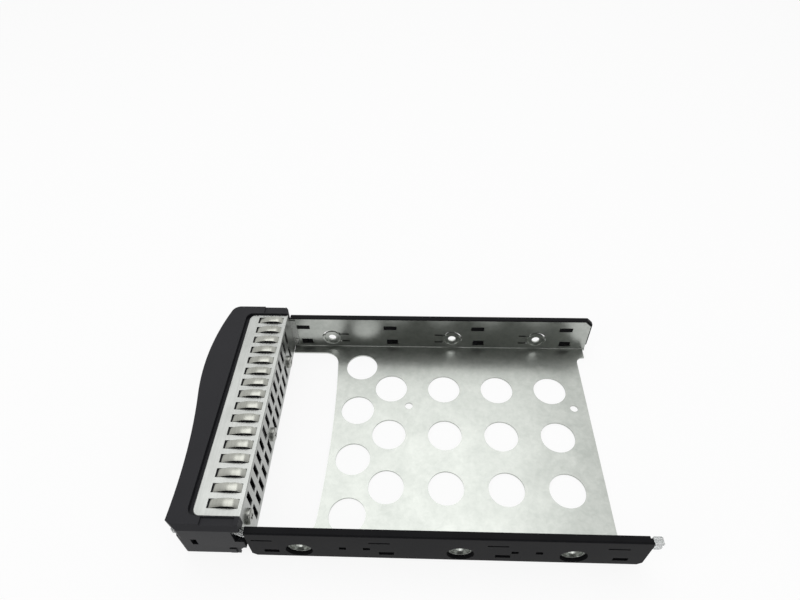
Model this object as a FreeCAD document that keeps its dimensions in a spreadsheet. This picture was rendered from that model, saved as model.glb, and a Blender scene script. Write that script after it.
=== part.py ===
"""Hot swap drive caddy: a folded sheet tray on two moulded runners, with a sprung and latched bezel in front.

Every piece is drawn about the drive that the caddy carries. X runs from front to rear with zero at the drive's
front side screw, Y runs across with zero on the centre line, and Z rises from the face that the drive lies on.
The placements then move all pieces together, so that the model's origin is the middle of its footprint.
"""
import FreeCAD, Part
import math
import os
import re
import Sketcher

doc = FreeCAD.newDocument("drive_caddy")
sheet = doc.addObject("Spreadsheet::Sheet", "sizes")

# The driving sizes in millimetres, and the counts
SIZES = {
    # the drive, as its makers agree on it
    "drive_width": 101.6,
    "drive_clearance": 0.4,
    "screw_mid": 60.0,
    "screw_rear": 101.6,
    "screw_height": 6.35,
    "screw_hole": 3.8,
    # tray
    "tray_sheet": 0.8,
    "tray_bend": 0.5,
    "wall_height": 19.4,
    "front_plane": 19.5,
    "wall_tail": 25.2,
    "wall_chamfer": 3.0,
    "base_short": 5.1,
    "lobe_reach": 4.1,
    "lobe_inset": 5.7,
    "lobe_radius": 3.5,
    "hole_diameter": 15.0,
    "hole_inset": 13.7,
    "hole_first": 30.7,
    "hole_tail": 16.0,
    "stagger_first": 15.7,
    "locator_diameter": 3.5,
    "locator_first": 39.3,
    "locator_tail": 6.2,
    "locator_side": 15.3,
    "cutout_rear": 3.0,
    "cutout_bow": 2.2,
    "cutout_inset": 4.7,
    "cutout_radius": 7.0,
    # spring pads and slots in the walls
    "pad_radius": 4.1,
    "pad_gap": 0.9,
    "pad_neck": 2.1,
    "pad_reach": 8.5,
    "slot_inset": 5.7,
    "slot_tail": 11.3,
    "slot_length": 6.4,
    "slot_drop": 4.4,
    "slot_tall": 2.7,
    "foot_slot_shift": 0.9,
    "foot_slot_length": 5.5,
    "foot_slot_low": 1.6,
    "foot_slot_high": 5.1,
    # runners
    "rail_thick": 2.0,
    "rail_low": 0.9,
    "rail_toe": 1.7,
    "rail_lip": 0.6,
    "rail_setback": 1.0,
    "rail_gap": 0.1,
    "rail_overhang": 0.8,
    "rail_chamfer": 3.0,
    "rail_lip_short": 1.3,
    "rail_round": 0.7,
    "rail_window_length": 5.6,
    "rail_window_shift": 3.3,
    "rail_window_low": 4.1,
    "rail_window_high": 6.5,
    "rail_window_step": 2.4,
    "rail_window_ledge": 0.9,
    "rail_groove_length": 7.8,
    "rail_groove_drop": 5.2,
    "rail_groove_tall": 0.9,
    "rail_groove_depth": 0.7,
    "rail_port_radius": 5.1,
    "rail_port_lift": 0.3,
    "dimple_width": 2.6,
    "dimple_tall": 2.0,
    "dimple_height": 9.0,
    "dimple_first": 16.4,
    "dimple_pitch": 8.9,
    "dimple_repeat": 63.5,
    "hook_clearance": 0.2,
    # light pipes
    "pipe_thick": 1.3,
    "pipe_tall": 1.3,
    "pipe_gap": 0.5,
    "pipe_drop": 4.4,
    "pipe_play": 0.1,
    "pipe_lift": 2.5,
    "pipe_rise": 2.4,
    "pipe_reach": 3.6,
    "pipe_end_tall": 2.6,
    "pipe_end_wide": 2.4,
    "pipe_end_inset": 0.6,
    "pipe_end_drop": 1.3,
    "pipe_end_run": 4.0,
    "pipe_bevel": 0.7,
    "lamp_inset": 6.7,
    # shield
    "shield_sheet": 0.5,
    "shield_top": 24.0,
    "shield_deep": 18.0,
    "shield_inset": 4.6,
    "shield_corner": 3.0,
    "shield_foot": 0.3,
    "shield_roll": 0.4,
    "finger_inset_near": 4.9,
    "finger_inset_far": 3.6,
    "finger_count": 16,
    "window_wide": 3.7,
    "window_deep": 11.6,
    "window_inset": 1.7,
    "vent_wide": 2.7,
    "vent_inset": 11.3,
    "vent_count": 15,
    "vent_low": 2.6,
    "vent_mid_low": 11.5,
    "vent_mid_high": 14.0,
    "vent_drop": 1.7,
    "tab_length": 2.4,
    "tab_low": 1.0,
    "tab_drop": 0.8,
    "rivet_radius": 0.6,
    "rivet_head": 1.0,
    "rivet_height": 5.0,
    # finger strip
    "strip_sheet": 0.25,
    "strip_margin": 1.0,
    "finger_wide": 3.3,
    "finger_crown": 1.2,
    "crown_wide": 2.4,
    "crown_inset": 3.6,
    # bezel
    "bezel_rise": 1.0,
    "bezel_overhang": 0.2,
    "bezel_wall": 2.0,
    "bezel_depth": 31.7,
    "bulge_radius": 105.0,
    "bulge_inset": 33.2,
    "hollow_dip": 5.5,
    "hollow_inset": 14.2,
    "bezel_corner": 4.0,
    "rear_corner": 3.0,
    "near_bevel": 1.3,
    "near_bevel_tall": 3.0,
    "nose_reach": 0.4,
    "nose_run": 3.9,
    "nose_side": 2.5,
    "hood_low": 14.5,
    "hood_lean": 2.8,
    "groove_wide": 1.5,
    "throat_inset": 11.6,
    "near_wall_low": 8.0,
    "near_wall_inset": 2.6,
    "near_wall_tail": 3.2,
    "recess_rise": 5.3,
    "recess_drop": 2.5,
    "near_round": 3.0,
    "gate_drop": 4.6,
    "top_step_deep": 0.6,
    "top_step_inset": 3.9,
    "top_step_far": 2.6,
    "boss_radius": 3.2,
    "boss_deep": 5.0,
    # shield screws
    "head_radius": 3.0,
    "head_tall": 1.8,
    "shank_radius": 1.25,
    "shank_length": 6.0,
    "recess_wide": 0.9,
    "recess_reach": 1.6,
    "recess_deep": 1.0,
    "screw_play": 0.15,
    "screw_inset": 5.7,
    "near_screw_height": 15.5,
    "mid_screw_vent": 6,
    "far_screw_vent": 13,
    "low_screw_height": 7.5,
    # lever and its pin
    "pivot_depth": 6.1,
    "pivot_inset": 5.6,
    "pin_radius": 1.25,
    "pin_clearance": 0.05,
    "hub_radius": 4.0,
    "hub_clearance": 0.4,
    "lever_low": 0.4,
    "lever_gap": 0.6,
    "lever_setback": 1.0,
    "arm_inset": 1.0,
    "arm_thick": 2.0,
    "arm_gap": 0.5,
    "arm_tail": 2.3,
    "arm_round": 1.2,
    "lever_short": 16.3,
    "toe_reach": 5.1,
    "toe_wide": 2.4,
    "grille_near": 15.5,
    "grille_wide": 3.6,
    "grille_far": 10.9,
    "grille_count": 11,
    "grille_margin": 2.6,
    "spring_wire": 0.5,
    "spring_play": 0.35,
    "spring_turns": 3,
    "spring_room": 0.4,
    "pivot_boss_tall": 4.0,
    "pin_cover": 0.8,
    # latch
    "latch_gap": 0.3,
    "latch_wide": 9.9,
    "latch_travel": 2.5,
    "latch_setback": 1.5,
    "latch_low": 0.4,
    "tongue_inset": 2.8,
    "tongue_wide": 4.0,
    "tongue_low": 5.0,
    "tongue_high": 10.0,
    "flange_extra": 1.5,
    "flange_deep": 3.6,
    "latch_coil": 1.75,
    "latch_turns": 6,
    "grip_wide": 0.8,
    "grip_deep": 0.6,
    "grip_pitch": 1.7,
    "grip_count": 4,
    # vent screen
    "screen_sheet": 0.4,
    "screen_hole": 3.4,
    "screen_pitch": 5.0,
    "screen_columns": 15,
    "screen_inset": 5.05,
    "screen_margin": 1.0,
}

for row, (alias, size) in enumerate(SIZES.items(), start=1):
    sheet.set(f"A{row}", alias)
    sheet.set(f"B{row}", str(size))
    sheet.setAlias(f"B{row}", alias)
doc.recompute()

# Places that several pieces share, in words of the sizes
INNER = "(drive_width / 2 + drive_clearance)"
OUTER = f"({INNER} + tray_sheet)"
RAIL_FACE = f"({OUTER} + rail_thick)"
FRONT = "-front_plane"
BEZEL_HALF = f"({RAIL_FACE} + bezel_overhang)"
SHIELD_HALF = f"({BEZEL_HALF} - shield_inset)"
FINGER_PITCH = f"((2 * {SHIELD_HALF} - finger_inset_near - finger_inset_far) / (finger_count - 1))"
VENT_PITCH = f"(2 * ({INNER} - vent_inset) / (vent_count - 1))"
SCREW_SIDE = f"({INNER} - screw_inset)"
ARM_SIDE = f"({BEZEL_HALF} - arm_inset)"
PIVOT_SIDE = f"({BEZEL_HALF} - pivot_inset)"
LEVER_END = f"({BEZEL_HALF} - lever_short)"
TONGUE_SIDE = f"({LEVER_END} + latch_gap + tongue_inset)"
GRILLE_FIRST = f"(-({ARM_SIDE} - grille_near))"
GRILLE_PITCH = f"(({LEVER_END} - grille_far - {GRILLE_FIRST}) / (grille_count - 1))"
BULGE_SIDE = f"({BEZEL_HALF} - bulge_inset)"
HOLLOW_SIDE = f"({BEZEL_HALF} - hollow_inset)"
LOBE_HALF = f"({INNER} - lobe_inset)"
CUTOUT_HALF = f"({INNER} - cutout_inset)"
WALL_REAR = "(screw_rear + wall_tail)"
RAIL_REAR = f"({WALL_REAR} + rail_overhang)"
BASE_REAR = f"({WALL_REAR} - base_short)"
RAIL_FRONT = f"({FRONT} + rail_setback)"
FAR_RAIL_FRONT = f"({FRONT} + rail_gap)"
SLOT_FIRST = f"({FRONT} + slot_inset)"
SLOT_PITCH = f"(({WALL_REAR} - slot_tail - {SLOT_FIRST}) / 3)"
HOLE_PITCH = f"(({BASE_REAR} - hole_tail - hole_first) / 3)"
LOCATOR_PITCH = f"({BASE_REAR} - locator_tail - locator_first)"
BEZEL_REACH = "(front_plane + bezel_depth)"
HOLLOW_REACH = f"({BEZEL_REACH} - hollow_dip)"
THROAT_REACH = f"({BEZEL_REACH} - throat_inset)"
NEAR_WALL_FRONT = f"({THROAT_REACH} - near_wall_inset)"
NEAR_WALL_REAR = "(front_plane + near_wall_tail)"
PIVOT_BACK = "(front_plane + pivot_depth)"
WINDOW_REAR = "(front_plane + window_inset)"
WINDOW_FRONT = f"({WINDOW_REAR} + window_deep)"
CROWN_REAR = f"({WINDOW_REAR} + crown_inset)"
CROWN_FRONT = f"({CROWN_REAR} + crown_wide)"
LAMP_FRONT = f"({BEZEL_REACH} - lamp_inset)"
TOP_STEP_FRONT = "(front_plane + shield_deep - top_step_inset)"
RAIL_HIGH = "(wall_height + rail_lip)"
SLOT_HIGH = "(wall_height - slot_drop)"
SLOT_LOW = f"({SLOT_HIGH} - slot_tall)"
GROOVE_HIGH = f"({RAIL_HIGH} - rail_groove_drop)"
BEZEL_TOP = "(shield_top + bezel_rise)"
NOSE = f"({HOLLOW_REACH} + nose_reach)"
GATE_HIGH = "(shield_top - gate_drop)"
VENT_HIGH = "(shield_top - vent_drop)"
TAB_HIGH = "(wall_height - tab_drop)"
PIPE_LOW = f"({RAIL_HIGH} - pipe_drop)"
HOLE_ROW = f"(2 * ({INNER} - hole_inset) / 3)"
SHIELD_FRONT = "(-front_plane - shield_sheet)"
THROAT_BACK = f"({SHIELD_FRONT} - bezel_wall)"
THROAT_FRONT = f"(-{THROAT_REACH} + bezel_wall)"
DECK = "(shield_top - shield_sheet - strip_sheet)"
CEILING = f"({DECK} - bezel_wall)"
SOLE = "-tray_sheet"
FLOOR = "(bezel_wall - tray_sheet)"
BEZEL_INNER = f"({BEZEL_HALF} - bezel_wall)"
LEVER_TOP = "(hood_low - lever_gap)"
ARM_TOP = "(near_wall_low - arm_gap)"
LEVER_BACK = f"(-{THROAT_REACH} - lever_gap)"
HOOK_LOW = "(foot_slot_low + hook_clearance)"
RIVET = "(-front_plane + tab_length / 2)"


def bound(text):
    """The expression with each size named as the sheet knows it."""
    return re.sub(r"[a-z][a-z0-9_]*", lambda word: ("sizes." if word.group() in SIZES else "") + word.group(), text)


def number(text):
    """What an expression is worth now, for a sketch's first guess."""
    return float(sheet.evalExpression(text))


def whole(text):
    """A count from the sheet."""
    return int(round(number(text)))


def new_body(name):
    """An empty body whose placement carries it from the drive's datum to the model's origin."""
    body = doc.addObject("PartDesign::Body", name)
    body.Label = name
    place(body)
    return body


def place(thing):
    """The shift from the drive's datum to the middle of the footprint."""
    middle = f"({BEZEL_REACH} - {RAIL_REAR} - pipe_reach) / 2"
    thing.setExpression("Placement.Base.x", bound(middle))
    thing.setExpression("Placement.Base.z", bound("tray_sheet"))


def origin_part(body, role):
    """One of the body's own planes or axes."""
    return next(part for part in body.Origin.OriginFeatures if part.Role == role)


# For each direction: the plane across it, and the sign of that plane's normal
PLANES = {"X": ("YZ_Plane", 1), "Y": ("XZ_Plane", -1), "Z": ("XY_Plane", 1)}


def new_sketch(body, axis, level):
    """A sketch across an axis, at a level along it."""
    role, sign = PLANES[axis]
    sketch = body.newObject("Sketcher::SketchObject", "outline")
    sketch.AttachmentSupport = [(origin_part(body, role), "")]
    sketch.MapMode = "FlatFace"
    sketch.setExpression("AttachmentOffset.Base.z", bound(f"{sign} * ({level})"))
    return sketch


def hold(sketch, kind, where, text):
    """A measure of the sketch bound to the sheet."""
    index = sketch.addConstraint(Sketcher.Constraint(kind, *where, number(text)))
    sketch.setExpression(f"Constraints[{index}]", bound(text))


def pin_point(sketch, line, end, across, up):
    """Holds one point of a sketch where the sizes say."""
    hold(sketch, "DistanceX", (-1, 1, line, end), across)
    hold(sketch, "DistanceY", (-1, 1, line, end), up)


def polygon(points):
    """A closed outline of straight lines."""
    def draw(sketch):
        spots = [FreeCAD.Vector(number(across), number(up), 0) for across, up in points]
        first = sketch.GeometryCount
        count = len(spots)
        for index, spot in enumerate(spots):
            sketch.addGeometry(Part.LineSegment(spot, spots[(index + 1) % count]))
        for index, (across, up) in enumerate(points):
            after = first + (index + 1) % count
            sketch.addConstraint(Sketcher.Constraint("Coincident", first + index, 2, after, 1))
            pin_point(sketch, first + index, 1, across, up)
    return draw


def rectangle(left, right, low, high):
    """A rectangle between four places."""
    return polygon([(left, low), (right, low), (right, high), (left, high)])


def circle(across, up, radius):
    """A circle about a place."""
    def draw(sketch):
        middle = FreeCAD.Vector(number(across), number(up), 0)
        index = sketch.addGeometry(Part.Circle(middle, FreeCAD.Vector(0, 0, 1), number(radius)))
        pin_point(sketch, index, 3, across, up)
        hold(sketch, "Radius", (index,), radius)
    return draw


def arc(middle, start, end):
    """An arc about a middle that runs anticlockwise from one point to the other."""
    radius = (start - middle).Length
    first, last = (math.atan2(point.y - middle.y, point.x - middle.x) for point in (start, end))
    if last < first:
        last += 2 * math.pi
    return Part.ArcOfCircle(Part.Circle(middle, FreeCAD.Vector(0, 0, 1), radius), first, last)


def keyhole(across, up, turn):
    """The cut that frees a spring pad: a C about the screw hole and two slits along its neck.

    turn is 1 where the neck runs to the rear and -1 where it runs to the front.
    """
    def draw(sketch):
        middle = FreeCAD.Vector(number(across), number(up), 0)
        rings = []
        for radius, neck in (("pad_radius + pad_gap", "pad_neck + pad_gap"), ("pad_radius", "pad_neck")):
            size, half = number(radius), number(neck)
            reach = (size ** 2 - half ** 2) ** 0.5
            low = middle + FreeCAD.Vector(turn * reach, -half, 0)
            high = middle + FreeCAD.Vector(turn * reach, half, 0)
            ring = sketch.addGeometry(arc(middle, high, low) if turn == 1 else arc(middle, low, high))
            slit_end = number(f"{across} + {turn} * pad_reach")
            upper = sketch.addGeometry(Part.LineSegment(high, FreeCAD.Vector(slit_end, high.y, 0)))
            lower = sketch.addGeometry(Part.LineSegment(low, FreeCAD.Vector(slit_end, low.y, 0)))
            pin_point(sketch, ring, 3, across, up)
            hold(sketch, "Radius", (ring,), radius)
            # an arc always runs anticlockwise, so its first end is the low one where the neck is at the front
            high_end, low_end = (1, 2) if turn == 1 else (2, 1)
            sketch.addConstraint(Sketcher.Constraint("Coincident", ring, high_end, upper, 1))
            sketch.addConstraint(Sketcher.Constraint("Coincident", ring, low_end, lower, 1))
            hold(sketch, "DistanceY", (-1, 1, upper, 1), f"{up} + {neck}")
            hold(sketch, "DistanceY", (-1, 1, lower, 1), f"{up} - ({neck})")
            pin_point(sketch, upper, 2, f"{across} + {turn} * pad_reach", f"{up} + {neck}")
            pin_point(sketch, lower, 2, f"{across} + {turn} * pad_reach", f"{up} - ({neck})")
            rings.append((upper, lower))
        for side in (0, 1):
            outer, inner = rings[0][side], rings[1][side]
            start, stop = sketch.getPoint(outer, 2), sketch.getPoint(inner, 2)
            end = sketch.addGeometry(Part.LineSegment(start, stop))
            sketch.addConstraint(Sketcher.Constraint("Coincident", outer, 2, end, 1))
            sketch.addConstraint(Sketcher.Constraint("Coincident", inner, 2, end, 2))
    return draw


def wave(setback, back, low, high):
    """The bezel's plan: two arcs that bulge on the far half and dip on the near half, closed by a straight back."""
    rise = f"(bulge_radius - {BEZEL_REACH} + {HOLLOW_REACH})"
    span = f"({BULGE_SIDE} + {HOLLOW_SIDE})"
    dip_radius = f"(({rise}) ^ 2 + {span} ^ 2 - bulge_radius ^ 2) / (2 * (bulge_radius - {rise}))"
    bulge = (f"bulge_radius - {BEZEL_REACH}", BULGE_SIDE, f"bulge_radius - ({setback})")
    dip = (f"-{HOLLOW_REACH} - {dip_radius}", f"-{HOLLOW_SIDE}", f"{dip_radius} + ({setback})")

    def draw(sketch):
        x_bulge, y_bulge, r_bulge = (number(text) for text in bulge)
        x_dip, y_dip, r_dip = (number(text) for text in dip)
        ratio = r_bulge / (r_bulge + r_dip)
        join = FreeCAD.Vector(x_bulge + (x_dip - x_bulge) * ratio, y_bulge + (y_dip - y_bulge) * ratio, 0)
        far_y, near_y = number(high), number(low)
        far = FreeCAD.Vector(x_bulge - (r_bulge ** 2 - (far_y - y_bulge) ** 2) ** 0.5, far_y, 0)
        near = FreeCAD.Vector(x_dip + (r_dip ** 2 - (near_y - y_dip) ** 2) ** 0.5, near_y, 0)
        corner_far = FreeCAD.Vector(number(back), far_y, 0)
        corner_near = FreeCAD.Vector(number(back), near_y, 0)
        first = sketch.GeometryCount
        sketch.addGeometry(arc(FreeCAD.Vector(x_bulge, y_bulge, 0), far, join))
        sketch.addGeometry(arc(FreeCAD.Vector(x_dip, y_dip, 0), near, join))
        sketch.addGeometry(Part.LineSegment(near, corner_near))
        sketch.addGeometry(Part.LineSegment(corner_near, corner_far))
        sketch.addGeometry(Part.LineSegment(corner_far, far))
        bulge_arc, dip_arc, near_line, back_line, far_line = range(first, first + 5)
        for curve, (across, up, radius) in ((bulge_arc, bulge), (dip_arc, dip)):
            pin_point(sketch, curve, 3, across, up)
        hold(sketch, "Radius", (bulge_arc,), bulge[2])
        sketch.addConstraint(Sketcher.Constraint("Tangent", bulge_arc, 2, dip_arc, 2))
        sketch.addConstraint(Sketcher.Constraint("Coincident", dip_arc, 1, near_line, 1))
        sketch.addConstraint(Sketcher.Constraint("Coincident", near_line, 2, back_line, 1))
        sketch.addConstraint(Sketcher.Constraint("Coincident", back_line, 2, far_line, 1))
        sketch.addConstraint(Sketcher.Constraint("Coincident", far_line, 2, bulge_arc, 1))
        hold(sketch, "DistanceY", (-1, 1, bulge_arc, 1), high)
        hold(sketch, "DistanceY", (-1, 1, dip_arc, 1), low)
        pin_point(sketch, back_line, 1, back, low)
        pin_point(sketch, back_line, 2, back, high)
    return draw


def add(body, axis, low, high, *shapes):
    """Material between two levels along an axis, inside the outlines."""
    sketch = new_sketch(body, axis, high if axis == "Y" else low)
    for draw in shapes:
        draw(sketch)
    pad = body.newObject("PartDesign::Pad", "pad")
    pad.Profile = sketch
    pad.setExpression("Length", bound(f"({high}) - ({low})"))
    return settle(body, pad, 1)


def cut(body, axis, low, high, *shapes):
    """A cut between two levels along an axis, inside the outlines."""
    sketch = new_sketch(body, axis, low if axis == "Y" else high)
    for draw in shapes:
        draw(sketch)
    pocket = body.newObject("PartDesign::Pocket", "pocket")
    pocket.Profile = sketch
    pocket.setExpression("Length", bound(f"({high}) - ({low})"))
    return settle(body, pocket, -1)


def settle(body, feature, sign):
    """Makes a feature the body's last, and makes sure that it added or took something."""
    earlier = feature.BaseFeature.Shape.Volume if feature.BaseFeature else 0.0
    body.Tip = feature
    doc.recompute()
    if (feature.Shape.Volume - earlier) * sign <= 0:
        raise RuntimeError(f"{body.Label}: {feature.Name} changed nothing")
    return feature


def repeat(body, feature, role, pitch, count):
    """Copies of the last feature along one of the body's axes."""
    pattern = body.newObject("PartDesign::LinearPattern", "pattern")
    pattern.Originals = [feature]
    pattern.Direction = (origin_part(body, role), [""])
    pattern.setExpression("Length", bound(f"{pitch} * ({count} - 1)"))
    pattern.setExpression("Occurrences", bound(count))
    body.Tip = pattern
    doc.recompute()
    return pattern


def edges(feature, chosen):
    """The names of the edges whose middles pass a test."""
    return [f"Edge{index}" for index, edge in enumerate(feature.Shape.Edges, start=1)
            if chosen(edge, edge.valueAt((edge.FirstParameter + edge.LastParameter) / 2))]


def soften(body, kind, size, chosen):
    """A fillet or chamfer on chosen edges of the last feature."""
    base = body.Tip
    names = edges(base, chosen)
    if not names:
        raise RuntimeError(f"{body.Label}: no edge to soften")
    feature = body.newObject(f"PartDesign::{kind}", kind.lower())
    feature.Base = (base, names)
    feature.setExpression("Radius" if kind == "Fillet" else "Size", bound(size))
    body.Tip = feature
    doc.recompute()
    return feature


def near(value, text):
    """Whether a coordinate is where the sizes put it."""
    return abs(value - number(text)) < 1e-3


def along(edge, axis):
    """Whether an edge is straight and runs along an axis."""
    if edge.Curve.TypeId != "Part::GeomLine":
        return False
    return abs(getattr(edge.Curve.Direction, axis.lower())) > 0.999


def tray():
    """The folded sheet: a channel section, then the holes and slots that were punched before it was folded."""
    body = new_body("tray")
    add(body, "X", FRONT, WALL_REAR, polygon([
        (f"-{OUTER}", SOLE), (OUTER, SOLE), (OUTER, "wall_height"), (INNER, "wall_height"),
        (INNER, "0"), (f"-{INNER}", "0"), (f"-{INNER}", "wall_height"), (f"-{OUTER}", "wall_height")]))
    soften(body, "Fillet", "tray_bend", lambda edge, spot: along(edge, "X") and near(spot.z, "0"))
    soften(body, "Fillet", "tray_bend + tray_sheet", lambda edge, spot: along(edge, "X") and near(spot.z, SOLE))
    rear_corners(body)
    base_cuts(body)
    wall_cuts(body)
    return body


def rear_corners(body):
    """The base ends before the walls, between two rounded lobes, and the walls' top corners are cut off."""
    lobe_end = f"({BASE_REAR} + lobe_reach)"
    cut(body, "Z", SOLE, "0", rectangle(BASE_REAR, WALL_REAR, f"-{LOBE_HALF}", LOBE_HALF))
    soften(body, "Fillet", "lobe_radius",
           lambda edge, spot: along(edge, "Z") and near(spot.x, BASE_REAR) and near(abs(spot.y), LOBE_HALF))
    bend_foot = f"({INNER} - tray_bend)"
    for side in ("", "-"):
        low, high = sorted((f"{side}{LOBE_HALF}", f"{side}{bend_foot}"), key=number)
        cut(body, "Z", SOLE, "0", rectangle(lobe_end, WALL_REAR, low, high))
    cut(body, "Y", f"-{OUTER}", OUTER, polygon([
        (f"{WALL_REAR} - wall_chamfer", "wall_height"), (WALL_REAR, "wall_height - wall_chamfer"),
        (WALL_REAR, "wall_height")]))


def base_cuts(body):
    """The bowed front cut-out, the round lightening holes and the two locating holes."""
    cut(body, "Z", SOLE, "0", bowed_cutout())
    soften(body, "Fillet", "cutout_radius",
           lambda edge, spot: along(edge, "Z") and near(spot.x, "cutout_rear") and near(abs(spot.y), CUTOUT_HALF))
    rounds = [(f"hole_first + {column} * {HOLE_PITCH}", f"{row} * {HOLE_ROW}")
              for column in range(4) for row in (-1, 0, 1)]
    rounds += [("stagger_first", f"{row} * {HOLE_ROW}") for row in (-1.5, -0.5, 0.5, 1.5)]
    cut(body, "Z", SOLE, "0", *[circle(across, up, "hole_diameter / 2") for across, up in rounds])
    locators = [(f"locator_first + {index} * {LOCATOR_PITCH}", "locator_side") for index in (0, 1)]
    cut(body, "Z", SOLE, "0", *[circle(across, up, "locator_diameter / 2") for across, up in locators])


def bowed_cutout():
    """The opening behind the bezel, whose rear edge bows towards the drive."""
    radius = f"(({CUTOUT_HALF} ^ 2 + cutout_bow ^ 2) / (2 * cutout_bow))"

    def draw(sketch):
        front = number(FRONT)
        rear, half = number("cutout_rear"), number(CUTOUT_HALF)
        middle = FreeCAD.Vector(number(f"cutout_rear + cutout_bow - {radius}"), 0, 0)
        near_front = FreeCAD.Vector(front, -half, 0)
        near_rear = FreeCAD.Vector(rear, -half, 0)
        far_rear = FreeCAD.Vector(rear, half, 0)
        far_front = FreeCAD.Vector(front, half, 0)
        lines = [Part.LineSegment(near_front, near_rear), arc(middle, near_rear, far_rear),
                 Part.LineSegment(far_rear, far_front), Part.LineSegment(far_front, near_front)]
        first = sketch.GeometryCount
        for line in lines:
            sketch.addGeometry(line)
        side, bow, other, front_line = range(first, first + 4)
        sketch.addConstraint(Sketcher.Constraint("Coincident", side, 2, bow, 1))
        sketch.addConstraint(Sketcher.Constraint("Coincident", bow, 2, other, 1))
        sketch.addConstraint(Sketcher.Constraint("Coincident", other, 2, front_line, 1))
        sketch.addConstraint(Sketcher.Constraint("Coincident", front_line, 2, side, 1))
        pin_point(sketch, side, 1, FRONT, f"-{CUTOUT_HALF}")
        pin_point(sketch, side, 2, "cutout_rear", f"-{CUTOUT_HALF}")
        pin_point(sketch, other, 1, "cutout_rear", CUTOUT_HALF)
        pin_point(sketch, other, 2, FRONT, CUTOUT_HALF)
        hold(sketch, "Radius", (bow,), radius)
    return draw


def wall_cuts(body):
    """The spring pads that hold the drive's screws, and the slots that the runners hook into."""
    pads = [("0", 1), ("screw_mid", -1), ("screw_rear", -1)]
    cut(body, "Y", f"-{OUTER}", OUTER, *[keyhole(across, "screw_height", turn) for across, turn in pads])
    cut(body, "Y", f"-{OUTER}", OUTER, *[circle(across, "screw_height", "screw_hole / 2") for across, turn in pads])
    cut(body, "Y", f"-{OUTER}", OUTER,
        *[slot(index, "0", "slot_length", SLOT_LOW, SLOT_HIGH) for index in range(4)])
    cut(body, "Y", f"-{OUTER}", OUTER, *[foot_slot(index) for index in range(4)])
    cut(body, "Y", f"-{OUTER}", OUTER, circle(RIVET, "rivet_height", "rivet_radius"))


def slot(index, shift, length, low, high):
    """One of the four slots along a wall or runner."""
    middle = f"({SLOT_FIRST} + {index} * {SLOT_PITCH} + {shift})"
    return rectangle(f"{middle} - {length} / 2", f"{middle} + {length} / 2", low, high)


def foot_slot(index):
    """A lower slot, with the small slanted relief at its rear foot."""
    middle = f"({SLOT_FIRST} + {index} * {SLOT_PITCH} + foot_slot_shift)"
    front, rear = f"{middle} - foot_slot_length / 2", f"{middle} + foot_slot_length / 2"
    relief = "tray_sheet"
    return polygon([(front, "foot_slot_low"), (f"{rear} + {relief}", "foot_slot_low"),
                    (rear, f"foot_slot_low + {relief}"), (rear, "foot_slot_high"), (front, "foot_slot_high")])


def rail(name, side, front, chamfer, lip_short):
    """A moulded runner: a bar along the wall, a lip over its top edge and hooks through its slots."""
    body = new_body(name)
    lip_end = f"({RAIL_REAR} - {lip_short})"

    def band(inside, outside):
        """Two places across, in order, on this runner's side."""
        return sorted((f"{side} * ({inside})", f"{side} * ({outside})"), key=number)

    toe = "(rail_low + rail_toe)"
    add(body, "Y", *band(OUTER, RAIL_FACE), polygon([
        (front, toe), (f"{front} + rail_toe", "rail_low"), (f"{RAIL_REAR} - rail_toe", "rail_low"), (RAIL_REAR, toe),
        (RAIL_REAR, f"{RAIL_HIGH} - {chamfer}"), (f"{RAIL_REAR} - {chamfer}", RAIL_HIGH), (front, RAIL_HIGH)]))
    soften(body, "Fillet", "rail_round",
           lambda edge, spot: along(edge, "X") and near(spot.z, RAIL_HIGH) and near(abs(spot.y), RAIL_FACE))
    add(body, "Y", *band(INNER, OUTER), rectangle(front, lip_end, "wall_height", RAIL_HIGH))
    inset = "hook_clearance"
    hooks = [slot(index, "0", f"(slot_length - 2 * {inset})", f"{SLOT_LOW} + {inset}", f"{SLOT_HIGH} - {inset}")
             for index in range(4)]
    hooks += [slot(index, "foot_slot_shift - foot_slot_length / 4", "(foot_slot_length / 2 - 2 * hook_clearance)",
                   HOOK_LOW, f"foot_slot_high - {inset}") for index in range(4)]
    add(body, "Y", *band(INNER, OUTER), *hooks)
    ports = ("0", "screw_mid", "screw_rear")
    cut(body, "Y", *band(OUTER, RAIL_FACE),
        *[circle(across, "screw_height + rail_port_lift", "rail_port_radius") for across in ports])
    cut(body, "Y", *band(OUTER, RAIL_FACE),
        *[slot(index, "rail_window_shift + rail_window_step / 2", "(rail_window_length - rail_window_step)",
               "rail_window_low", "rail_window_high") for index in range(4)])
    cut(body, "Y", *band(f"{RAIL_FACE} - rail_window_ledge", RAIL_FACE),
        *[slot(index, "rail_window_shift", "rail_window_length", "rail_window_low", "rail_window_high")
          for index in range(4)])
    cut(body, "Y", *band(f"{RAIL_FACE} - rail_groove_depth", RAIL_FACE),
        *[slot(index, "foot_slot_shift", "rail_groove_length", f"{GROOVE_HIGH} - rail_groove_tall", GROOVE_HIGH)
          for index in range(4)])
    dimples = [f"(dimple_first + {step} * dimple_pitch + {group} * dimple_repeat)"
               for step in (0, 1) for group in (0, 1)]
    cut(body, "Y", *band(f"{RAIL_FACE} - rail_groove_depth", RAIL_FACE),
        *[rectangle(f"{middle} - dimple_width / 2", f"{middle} + dimple_width / 2",
                    "dimple_height - dimple_tall / 2", "dimple_height + dimple_tall / 2") for middle in dimples])
    return body


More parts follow.
